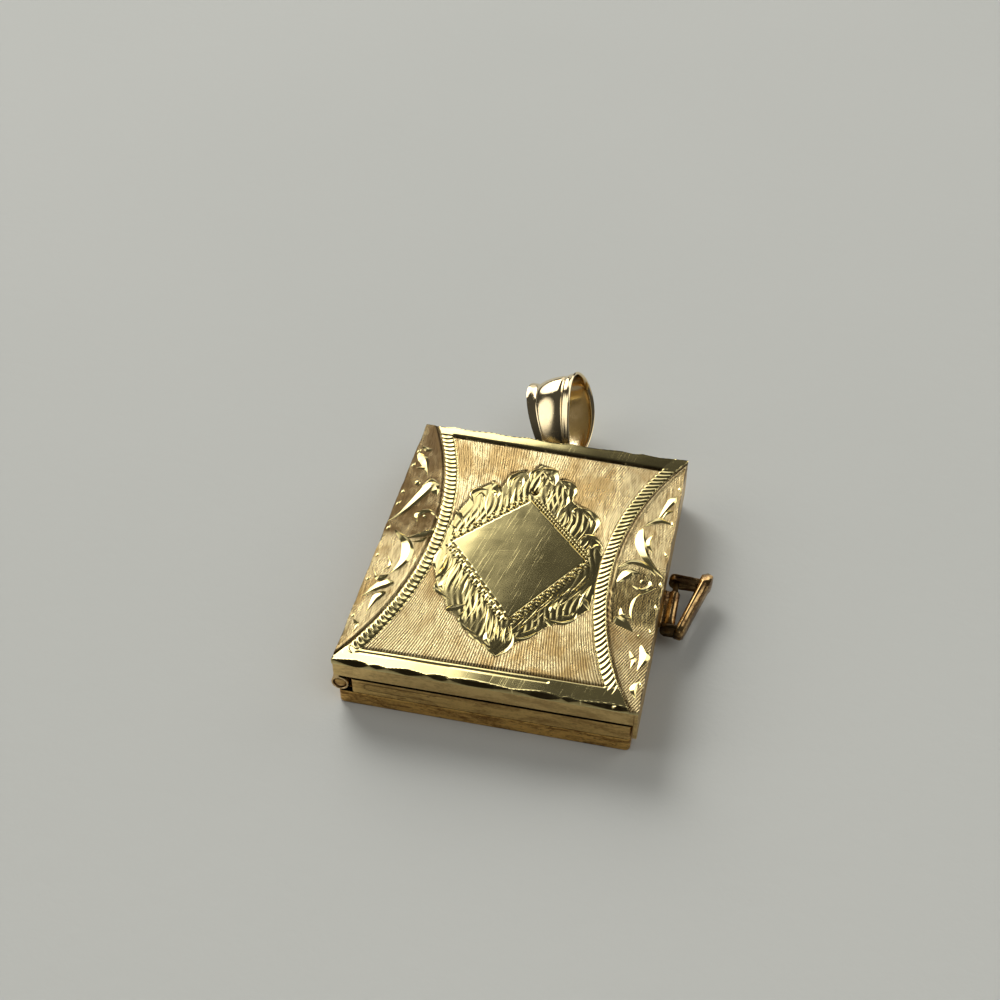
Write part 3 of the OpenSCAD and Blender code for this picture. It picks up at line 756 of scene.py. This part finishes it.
# Cuts in the side panels: width, height, lean, where it is widest, and its points
SCROLLS = (
    # left panel, from the back to the front
    (0.5, 0.09, 0.2, 0.5, (-10.6, 9.7), (-10.1, 9.4), (-9.7, 9.5)),
    (0.75, 0.13, 0.3, 0.4, (-10.75, 8.9), (-10.0, 8.0), (-9.3, 6.5)),
    (0.35, 0.09, 0.2, 0.5, (-10.4, 7.2), (-9.8, 7.3), (-9.4, 7.0)),
    (0.95, 0.13, 0.35, 0.18, (-7.95, 4.6), (-8.7, 5.6), (-9.2, 4.5), (-10.0, 2.7), (-10.95, 1.2)),
    (0.4, 0.1, 0.2, 0.4, (-8.1, 5.8), (-8.9, 6.1), (-9.4, 5.3)),
    (0.42, 0.11, 0.3, 0.6, (-7.2, 2.2), (-8.1, 2.9), (-8.95, 2.3), (-8.7, 1.5)),
    (0.5, 0.12, 0.3, 0.4, (-7.2, 1.3), (-7.6, 0.7), (-8.4, 0.2), (-9.2, -0.2)),
    (0.3, 0.1, 0.2, 0.4, (-7.3, 0.4), (-7.9, -0.2), (-8.6, -0.5)),
    (0.85, 0.13, 0.3, 0.5, (-10.2, 0.5), (-8.9, -0.7), (-8.6, -2.3), (-9.3, -3.9)),
    (0.5, 0.12, 0.3, 0.35, (-9.3, -3.9), (-10.0, -4.4), (-10.55, -3.7)),
    (0.3, 0.09, 0.2, 0.5, (-9.9, -2.2), (-9.5, -3.0), (-9.9, -3.6)),
    (0.8, 0.12, 0.3, 0.4, (-8.7, -4.5), (-9.6, -5.0), (-10.7, -6.3)),
    (0.6, 0.12, 0.3, 0.4, (-9.0, -5.5), (-9.6, -6.2), (-9.9, -7.6)),
    (0.35, 0.08, 0.2, 0.4, (-10.6, -8.4), (-10.2, -8.9), (-10.3, -9.6)),
    # right panel
    (0.6, 0.12, 0.3, 0.4, (10.7, 8.3), (10.2, 7.3), (9.55, 5.5)),
    (0.32, 0.09, 0.2, 0.4, (10.6, 6.6), (10.1, 6.3), (9.9, 5.6)),
    (0.5, 0.11, 0.3, 0.55, (10.7, 5.2), (9.6, 5.4), (8.5, 4.5)),
    (0.85, 0.13, 0.35, 0.35, (8.5, 4.4), (8.6, 2.9), (9.4, 1.3), (11.0, -0.4)),
    (0.4, 0.1, 0.3, 0.5, (9.4, 3.9), (9.2, 2.9), (9.7, 2.0)),
    (0.5, 0.12, 0.3, 0.5, (7.3, 0.1), (8.3, 0.9), (9.6, 0.6), (10.3, -0.2)),
    (0.7, 0.13, 0.3, 0.35, (7.5, -1.3), (8.3, -0.2), (9.2, -0.1)),
    (0.42, 0.12, 0.3, 0.5, (8.7, -1.4), (9.5, -1.6), (10.0, -1.0), (9.5, -0.3)),
    (0.24, 0.09, 0.2, 0.5, (10.6, -1.2), (9.2, -2.4), (9.0, -3.9), (9.5, -5.1)),
    (0.85, 0.13, 0.2, 0.4, (7.9, -4.5), (8.6, -4.9), (9.5, -5.6)),
    (0.4, 0.1, 0.2, 0.4, (8.2, -3.6), (8.5, -4.3), (9.2, -4.4)),
    (0.7, 0.12, 0.2, 0.5, (10.2, -6.6), (10.6, -7.6), (10.3, -8.9)),
    (0.45, 0.1, 0.2, 0.4, (9.5, -7.3), (9.9, -8.0), (9.8, -8.8)),
    (0.5, 0.1, 0.2, 0.5, (10.7, -9.6), (10.3, -10.4), (10.6, -11.2)),
)


def side_scrolls():
    """Broad bright cuts in the two panels outside the ropes."""
    work = Raised()
    for width, height, lean, head, *points in SCROLLS:
        work.cut(points, width * 1.3, height + 0.03, lean + 0.15, head, count=22)
    # Bright nicks where the facets of an edge meet
    for side, e in (("front", -12.1), ("back", 12.1), ("left", -10.85), ("right", 10.85)):
        for k, at in enumerate(NICKS[side][1:-1]):
            skew = 0.1 * math.sin(2.1 * k)
            if side in ("front", "back"):
                points = [(at - 0.1, e), (at, e * 0.99), (at + 0.1, e * 0.98 - skew)]
            else:
                points = [(e, at - 0.26), (e * 0.99, at), (e * 0.98 + skew, at + 0.3)]
            work.cut(points, width=0.36, height=0.16, lean=0.3, head=0.5, count=8)
    for bead in ((-9.85, 5.6, 0.26, 0.13), (-8.3, 2.2, 0.16, 0.1), (9.4, -0.9, 0.22, 0.12),
                 (9.95, -5.9, 0.16, 0.1)):
        work.bead(*bead)
    work.build("side_scrolls", 26)


# ---- case

def base_tray():
    low, high = box("base_walls")
    z1 = high[2]
    floor = box("base_plate")[1][2]
    rows = [(0.7, 0.0, 0.3), (0.09, 0.0, 0.34), (0.03, 0.03, 0.35)]
    rows += [(0.0, z, 0.3 + 0.05 * (1 - z / 0.7) ** 2) for z in (0.09, 0.26, 0.5)]
    rows += [(0.0, z1 - 0.27, 0.3), (0.02, z1 - 0.25, 0.3), (0.02, z1 - 0.03, 0.3),
             (0.04, z1, 0.28), (0.43, z1, 0.2), (0.48, z1 - 0.02, 0.2), (0.5, z1 - 0.07, 0.2),
             (0.5, floor + 0.06, 0.2), (0.56, floor, 0.2)]
    shell = loft(tray(low[0], high[0], high[1], rows))
    # Painted shade: the walls' top edge is painted dark, for the shaded seam under the leaf.
    piece("base_tray", [shell], BASE_SIDE, "base", "case_gold", ("base_plate", "base_walls"),
          crease=40, soot=shell[0][:, 2] > z1 - 0.005)


def leaf_rim():
    low, high = box("leaf_frame")
    z0, z1 = low[2], high[2]
    rows = [(0.02, z0, 0.2)] + [(0.0, z, 0.22) for z in np.linspace(z0 + 0.02, z1 - 0.02, 21)]
    rows += [(0.02, z1, 0.2), (0.45, z1, 0.2), (0.5, z1 - 0.05, 0.2), (0.5, z0 + 0.05, 0.2),
             (0.45, z0, 0.2)]
    points, faces = loft(tray(low[0], high[0], high[1], rows, front=150), wrap=True)
    # A long round-ended groove on the front, worn away towards the right
    x, y, z = points.T
    x_left, x_right = low[0] + 1.3, low[0] + 8.5
    reach = np.hypot(x - np.clip(x, x_left, x_right), z - ((z0 + z1) / 2 + 0.02))
    groove = bell(reach - 0.33, 0.06) * held((x_right - x) / 5.0) * (y < low[1] + 0.01)
    points[:, 1] += 0.06 * groove
    # Painted shade: the top and bottom edges are painted dark for the shaded seams to the base and the
    # lid; the groove is darker.
    seam = (z < z0 + 0.005) | (z > z1 - 0.025)
    piece("leaf_rim", [(points, faces)], LEAF_SIDE, "leaf", "case_gold", ("leaf_frame",),
          crease=40, soot=np.where(seam, 1.0, 0.6 * groove))


def lid_skirt():
    low, high = box("lid_walls")
    z0, z1 = low[2], high[2]
    rows = []
    for d, z, r in ((0, z1, 0.2), (0, z0 + 0.14, 0.2), (0, z0 + 0.08, 0.2), (0.02, z0 + 0.06, 0.18),
                    (0.42, z0 + 0.06, 0.15), (0.5, z0 + 0.12, 0.12), (0.5, z1, 0.12)):
        x0, half = low[0] + d, high[1] - d
        flat = np.vstack([[(high[0], half)], arc(x0 + r, half - r, r, 90, 180, 6),
                          arc(x0 + r, r - half, r, 180, 270, 6), [(high[0], -half)]])
        rows.append(at_height(flat, z))
    shell = loft(rows, ring=False, wrap=True)
    # Painted shade: the lower edge is painted dark, for the shaded seam above the leaf.
    piece("lid_skirt", [shell], LID_SIDE, "lid", "case_gold", ("lid_walls",),
          crease=40, soot=shell[0][:, 2] < z0 + 0.07)


def catch():
    low, high = box("catch_plate")
    y0, y1, z0, z1 = low[1], high[1], low[2], high[2]
    r = 0.8
    rows = []
    for x, d in ((low[0], 0.04), (low[0] + 0.04, 0.0), (high[0] - 0.07, 0.0), (high[0] - 0.02, 0.02),
                 (high[0], 0.07)):
        flat = np.vstack([[(y1 - d, z1), (y0 + d, z1)], arc(y0 + r, z0 + r, r - d, 180, 270, 8),
                          arc(y1 - r, z0 + r, r - d, 270, 360, 8)])
        rows.append(np.insert(flat, 0, x, axis=1))
    piece("catch_tongue", [loft(rows)], LID_SIDE, "lid", "case_gold", ("catch_plate",),
          crease=35)


PIN_LOW, PIN_HIGH = box("hinge_pin")
HINGE_X, HINGE_Z = (PIN_LOW[0] + PIN_HIGH[0]) / 2, (PIN_LOW[2] + PIN_HIGH[2]) / 2
PIN_R = (PIN_HIGH[0] - PIN_LOW[0]) / 2
KNUCKLES, GAP = 7, 0.08
KNUCKLE_R = 0.65


def knuckles(name, places, bore, tab_low, tab_high, body, node):
    """Rolled tubes on the hinge line, each with the tab of sheet that joins it to its tray."""
    length = (PIN_HIGH[1] - PIN_LOW[1] - (KNUCKLES - 1) * GAP) / KNUCKLES
    # Distance from the nearer end of the tube, and radius, from the bore to the outside
    end = ((0.04, bore), (0, bore + 0.03), (0, KNUCKLE_R - 0.06), (0.02, KNUCKLE_R - 0.02),
           (0.07, KNUCKLE_R))
    (x0, z0), (x1, z1) = tab_low, tab_high
    shells = []
    for i in places:
        y0 = PIN_LOW[1] + i * (length + GAP)
        y1 = y0 + length
        profile = [(y0 + d, r) for d, r in end] + [(y1 - d, r) for d, r in end[::-1]]
        shells += [turned(HINGE_X, HINGE_Z, profile, 48),
                   extrude([(x0, z0), (x1, z0), (x1, z1), (x0, z1)], y0, y1, 0.03)]
    piece(name, shells, HINGE, body, "case_gold", (node,), crease=35)


def hinge():
    wall_low, wall_high = box("base_walls")
    leaf_low = box("leaf_frame")[0]
    lid_low = box("lid_walls")[0]
    knuckles("knuckles_base", (1, 5), PIN_R + 0.01, (wall_low[0] + 0.02, wall_high[2] - 0.1),
             (wall_low[0] + 0.48, HINGE_Z - PIN_R - 0.03), "base", "base_knuckles")
    knuckles("knuckles_leaf", (2, 4), PIN_R + 0.05, (HINGE_X + PIN_R + 0.07, HINGE_Z - 0.33),
             (leaf_low[0] + 0.05, HINGE_Z + 0.33), "leaf", "leaf_knuckles")
    knuckles("knuckles_lid", (0, 3, 6), PIN_R + 0.05,
             (lid_low[0] + 0.02, HINGE_Z + PIN_R + 0.07), (HINGE_X, lid_low[2] + 0.05),
             "lid", "lid_knuckles")
    path = [(HINGE_X, y, HINGE_Z) for y in np.linspace(PIN_LOW[1] + 0.09, PIN_HIGH[1] - 0.09, 12)]
    piece("hinge_wire", [tube(path, PIN_R, 40)], WIRE, "base", "pin_gold", ("hinge_pin",),
          crease=50)


def bezels():
    """Picture frames: a flat border, a sunk band and a rolled lip round the window."""
    # Inset, share of the thickness, and corner radius
    profile = ((0, 0.0, 0.15), (0, 0.9, 0.15), (0.06, 1.0, 0.15), (0.45, 1.0, 0.2),
               (0.52, 0.97, 0.2), (0.6, 0.78, 0.22), (1.12, 0.72, 0.3), (1.2, 0.8, 0.35),
               (1.27, 0.94, 0.38), (1.38, 1.0, 0.4), (1.5, 0.98, 0.45), (1.62, 0.82, 0.5),
               (1.69, 0.55, 0.55), (1.7, 0.0, 0.55))
    for node, body, up in (("base_bezel", "base", 1), ("leaf_front_bezel", "leaf", 1),
                           ("leaf_back_bezel", "leaf", -1), ("lid_bezel", "lid", -1)):
        low, high = box(node)
        back, thick = (low if up > 0 else high)[2], up * (high[2] - low[2])
        rows = [at_height(outline(low[0] + d, high[0] - d, low[1] + d, high[1] - d, r),
                          back + thick * share) for d, share, r in profile]
        piece(node.replace("bezel", "mount"), [loft(rows, wrap=True)], BEZEL, body, "bezel_gold",
              (node,), crease=40)


# ---- bail

STAPLE_LOW, STAPLE_HIGH = box("bail_staple")


def staple():
    """A bent wire: two legs from the back wall and a straight bar."""
    r, bend = 0.3, 0.45
    foot = np.array([STAPLE_HIGH[0] - r, STAPLE_LOW[1] - 0.02, 0.7])
    top = STAPLE_HIGH - r
    leg = (top - foot) * (0, 1, 1)
    a, b = top - leg / np.linalg.norm(leg) * bend, top - (bend, 0, 0)
    right = [foot, foot + leg * 0.35]
    right += [(1 - t) ** 2 * a + 2 * t * (1 - t) * top + t * t * b for t in np.linspace(0, 1, 7)]
    left = [p * (-1, 1, 1) for p in right]
    piece("staple_wire", [tube(left + right[::-1], r, 20)], WIRE, "base", "case_gold",
          ("bail_staple",), crease=50)


def bail():
    """A strap bent into a loop: fluted outside, smooth and trumpet-mouthed inside."""
    foot_end, tip_end = -1.05, 7.2      # along the bail, from the staple bar
    # Side outline of its inner face: an egg, broader towards the tip
    cos, sin = circle(96)
    line = np.column_stack([3.075 + 3.725 * cos,
                            np.where(sin > 0, 2.14, 1.96) * sin * (1 + 0.24 * cos)])
    tangent = np.roll(line, -1, 0) - np.roll(line, 1, 0)
    normal = np.column_stack([tangent[:, 1], -tangent[:, 0]])
    normal /= np.linalg.norm(normal, axis=1)[:, None]
    # Across the strap: its outer face has ridges and grooves, each a place, a width and a rise
    v = np.linspace(-1, 1, 61)
    outer = 0.26 + 0.22 * np.cos(np.clip((v - 0.02) / 0.62, -1, 1) * math.pi / 2) ** 0.7
    for place, width, rise in ((0.7, 0.1, 0.09), (1.0, 0.26, 0.2), (-1.0, 0.24, 0.27),
                               (0.55, 0.05, -0.11), (-0.64, 0.1, -0.03)):
        outer += rise * bell(v - place, width)
    inner = 0.22 * (1 - v * v) + 0.26 * np.abs(v) ** 6
    outer[0] = outer[-1] = 0.36
    inner[0] = inner[-1] = 0.28
    # The CAD's own place: half-width runs from foot to tip, then lift, roll and turn
    lift, roll, turn = (math.radians(a) for a in (21.5, -26, 1.5))
    axes = np.array(Matrix.Rotation(turn, 3, "Z") @ Matrix.Rotation(roll, 3, "Y")
                    @ Matrix.Rotation(lift, 3, "X"))
    at = np.array([0.24, STAPLE_HIGH[1] - 0.3, STAPLE_HIGH[2] - 0.3])
    rows, soot = [], []
    for p, n in zip(line, normal):
        share = (p[0] - foot_end) / (tip_end - foot_end)
        half = 1.05 + 1.15 * math.sin(share * math.pi / 2) ** 0.85
        flare = 0.45 + 0.55 * held(share * 1.5)
        # The flutes fade out on the underside, which lies close to the table
        swell = flare * (0.2 + 0.8 * held(0.95 + p[1] / 1.3))
        sides = [np.column_stack([v * half, p[0] + n[0] * rise, p[1] + n[1] * rise])
                 for rise in (0.3 + (outer - 0.3) * swell, inner * flare)]
        rows.append(np.vstack([sides[0], sides[1][::-1]]) @ axes.T + at)
        # Its inner face is dull and painted brown as shade inside the loop, most of all at the tip, and
        # the foot is painted dark outside as shade
        soot += [min(0.9, max(0.0, 1.5 - 3.6 * share))] * len(v)
        soot += ((0.05 + 0.6 * max(0.0, share - 0.2)) * held(4.0 * (1 - np.abs(v)))).tolist()
    piece("bail_strap", [loft(rows, wrap=True)], BAIL, "bail", "bail_gold", ("bail",), crease=60,
          soot=soot)


# ---- pull loop

def pull_loop():
    barrel_low, barrel_high = box("loop_barrel")
    pin_low, pin_high = box("loop_pin")
    loop_low, loop_high = box("pull_loop")
    wall_x, y0, y1 = barrel_low[0], barrel_low[1], barrel_high[1]
    px, pz = (pin_low[0] + pin_high[0]) / 2, (pin_low[2] + pin_high[2]) / 2
    r = barrel_high[0] - px
    # Barrel: a rolled tube with softly turned-in ends, on a stepped foot
    profile = ((y0 + 0.05, 0.24), (y0, 0.28), (y0, r - 0.14), (y0 + 0.05, r - 0.05), (y0 + 0.16, r),
               (y0 + 0.9, r - 0.02), (y1 - 0.9, r - 0.02), (y1 - 0.3, r), (y1 - 0.1, r - 0.08),
               (y1, r - 0.2), (y1, 0.28), (y1 - 0.05, 0.24))
    step = [(wall_x, -0.25), (wall_x + 0.14, -0.25), (wall_x + 0.2, -0.2), (px - 0.26, -0.2)]
    foot = [(x, pz + z) for x, z in step] + [(x, pz - z) for x, z in step[::-1]]
    piece("pull_barrel", [turned(px, pz, profile, 40), extrude(foot, y0 + 0.1, y1 - 0.1, 0.04)],
          LOOP, "lid", "loop_gold", ("loop_barrel",), crease=35)
    path = [(px, y, pz) for y in np.linspace(pin_low[1] + 0.05, pin_high[1] - 0.05, 10)]
    wire = tube(path, 0.22, 24)
    # The pin is painted dark all over, as shade inside the barrel and in the gap beside it.
    piece("pull_wire", [wire], WIRE, "lid", "pin_gold", ("loop_pin",), crease=50,
          soot=np.full(len(wire[0]), 0.7))

    # Rear arm: a bar with a rounded back and a rolled edge along its top; front arm: a plain block
    half = (loop_high[2] - loop_low[2]) / 2
    rear_y, front_y = 2.1, -3.07
    heel, tip = np.array([wall_x + 1.45, -3.15]), np.array([wall_x + 2.8, 2.65])
    shells = []
    for y, reach, thick, top in ((rear_y, wall_x + 2.6, 0.3, 0.72),
                                 (front_y, heel[0] + 0.12, 0.2, 0.95)):
        side = np.vstack([arc(px - 0.05, pz, half * 0.95, 110, 250, 16),
                          [(px, pz - half * 0.9), (reach - 0.12, pz - half * 0.9),
                           (reach, pz - half * 0.75), (reach, pz + half * (top - 0.15)),
                           (reach - 0.12, pz + half * top), (px, pz + half * top)]])
        shells.append(extrude(side, y - thick, y + thick, 0.08))
    lip = [(px + x, rear_y + y, pz + z) for x, y, z in (
        (-0.45, 0.12, 0.38), (-0.2, 0.2, 0.45), (0.5, 0.18, 0.42), (1.2, 0.16, 0.4),
        (1.45, 0.05, 0.34))]
    shells.append(tube(smooth_path(lip, 24), 0.13, 14))
    # Outer bar: upright sides, a roof of two facets, a heel that turns in and a pointed tip
    length = np.linalg.norm(tip - heel)
    along = (tip - heel) / length
    out = np.array([along[1], -along[0]])
    sides = ((-0.2, -1.0), (0.44, -1.0), (0.55, -0.8))
    roof = sides + ((0.55, 0.1), (0.49, 0.42), (0.28, 0.85), (0.13, 1.0), (0.05, 1.0),
                    (-0.1, 0.84), (-0.21, 0.45), (-0.24, 0.2), (-0.24, -0.85))
    # The last millimetre is filed to one facet that leans towards the case
    slant = sides + ((0.57, 0.6), (0.54, 0.98), (0.4, 0.98), (0.2, 0.88), (0.05, 0.805),
                     (-0.1, 0.73), (-0.22, 0.67), (-0.24, 0.5), (-0.24, -0.85))
    rows = []
    for s, wide, tall in ((-0.32, 0.4, 0.6), (-0.24, 0.75, 0.85), (-0.05, 0.95, 0.97),
                          (0.4, 1.0, 1.0), (2.2, 1.0, 1.0), (length - 0.7, 1.1, 1.05),
                          (length - 0.38, 1.2, 1.12), (length + 0.14, 1.15, 1.1),
                          (length + 0.62, 0.1, 0.5)):
        rows.append([(*(heel + along * s + out * a * wide), pz + half * b * tall)
                     for a, b in (roof if s < length - 0.5 else slant)])
    shells.append(loft(rows))
    # The front arm is painted black as shadow, and the rear arm below its lip is painted dark as shade
    x, y, z = np.vstack([points for points, _ in shells]).T
    soot = np.where(y < front_y + 0.3, 0.9, 0.0) * held((heel[0] + 0.3 - x) / 0.4)
    soot = np.maximum(soot, 0.6 * (np.abs(y - rear_y) < 0.35) * (z < pz + half * 0.7)
                      * (x < wall_x + 2.3))
    piece("pull_handle", shells, LOOP, "pull_loop", "loop_gold", ("pull_loop",), crease=36,
          soot=soot)


# ---- build

lid_face()
rope("left")
rope("right")
border()
leafwork()
side_scrolls()
base_tray()
leaf_rim()
lid_skirt()
catch()
hinge()
bezels()
staple()
bail()
pull_loop()

# CAD nodes that stay, with better materials
kept = {"leaf_web": LEAF_SIDE, "snap_bead": WIRE}
for place in ("base", "leaf_front", "leaf_back", "lid"):
    kept[place + "_card"], kept[place + "_lens"] = CARD, CLEAR
for name, mat in kept.items():
    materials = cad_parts[name].data.materials
    materials.clear()
    materials.append(mat)


# ---- floor, light and camera

def floor():
    n = Nodes("floor_pale")
    drift = n.noise((0.012, 0.012, 0.012), 3, 0.5)
    n.finish(n.mix(drift, (0.545, 0.555, 0.52), (0.6, 0.605, 0.57)), 0.95,
             n.bump(n.noise((0.6, 0.6, 0.6), 4, 0.6), 0.03), **{"Specular IOR Level": 0.15})
    mesh = bpy.data.meshes.new("floor")
    r = 3.0
    mesh.from_pydata([(-r, -r, 0), (r, -r, 0), (r, r, 0), (-r, r, 0)], [], [(0, 1, 2, 3)])
    mesh.materials.append(n.owner)
    add_object("floor", mesh)


def surroundings():
    """A soft room: a broad window behind on the left, weaker glows round about, dim elsewhere."""
    n = Nodes("room", "worlds", "Generated")
    bpy.context.scene.world = n.owner
    window = (-0.5, 0.72, 0.48)
    total = 0.0
    # direction, cosine where the glow starts and where it is full, strength
    for aim, start, full, power in ((window, 0.9, 0.915, 0.09), (window, 0.917, 0.933, 2.0),
                                    (window, 0.94, 0.975, 2.2),
                                    ((0.66, 0.66, 0.36), 0.93, 0.97, 1.6),
                                    ((-0.1, 0.95, 0.28), 0.955, 0.985, 0.9),
                                    ((-0.86, -0.12, 0.5), 0.9, 0.97, 1.6),
                                    ((0.85, -0.45, 0.3), 0.93, 0.98, 0.7)):
        dot = n.add("ShaderNodeVectorMath", (n.place, Vector(aim).normalized()),
                    operation="DOT_PRODUCT")
        total = n.math("ADD", total, n.between(dot.outputs["Value"], start, full, 0.0, power))
    dim = 0.068
    back = n.tree.nodes["Background"]
    n.put(back.inputs["Strength"], n.math("ADD", total, dim))
    n.put(back.inputs["Color"], (1.0, 0.985, 0.95))


def area_light(name, place, size, power):
    """A disc of light that aims at the origin and shows in no reflection."""
    light = bpy.data.lights.new(name, "AREA")
    light.shape = "DISK"
    light.size = size
    light.energy = power
    obj = add_object(name, light)
    obj.location = place
    obj.rotation_mode = "QUATERNION"
    obj.rotation_quaternion = (-Vector(place)).to_track_quat("-Z", "Y")
    obj.visible_glossy = False


def camera():
    data = bpy.data.cameras.new("camera")
    data.sensor_width = 36.0
    data.lens = 53.634
    data.clip_start, data.clip_end = 0.005, 20.0
    obj = add_object("camera", data)
    azimuth, elevation, roll = (math.radians(a) for a in (12.7103, 42.5622, -0.1819))
    back = Vector((math.sin(azimuth) * math.cos(elevation),
                   -math.cos(azimuth) * math.cos(elevation), math.sin(elevation)))
    right = Vector((0, 0, 1)).cross(back).normalized()
    up = back.cross(right)
    right, up = (right * math.cos(roll) + up * math.sin(roll),
                 up * math.cos(roll) - right * math.sin(roll))
    turn = Matrix((right, up, back)).transposed().to_4x4()
    obj.matrix_world = Matrix.Translation(Vector((16.14, -79.105, 84.129)) * MM) @ turn
    bpy.context.scene.camera = obj


bpy.context.scene.view_settings.view_transform = "Standard"
floor()
surroundings()
area_light("key", (-0.3, 0.34, 0.42), 0.3, 1.2)
area_light("fill", (0.25, -0.1, 0.5), 0.5, 0.62)
camera()
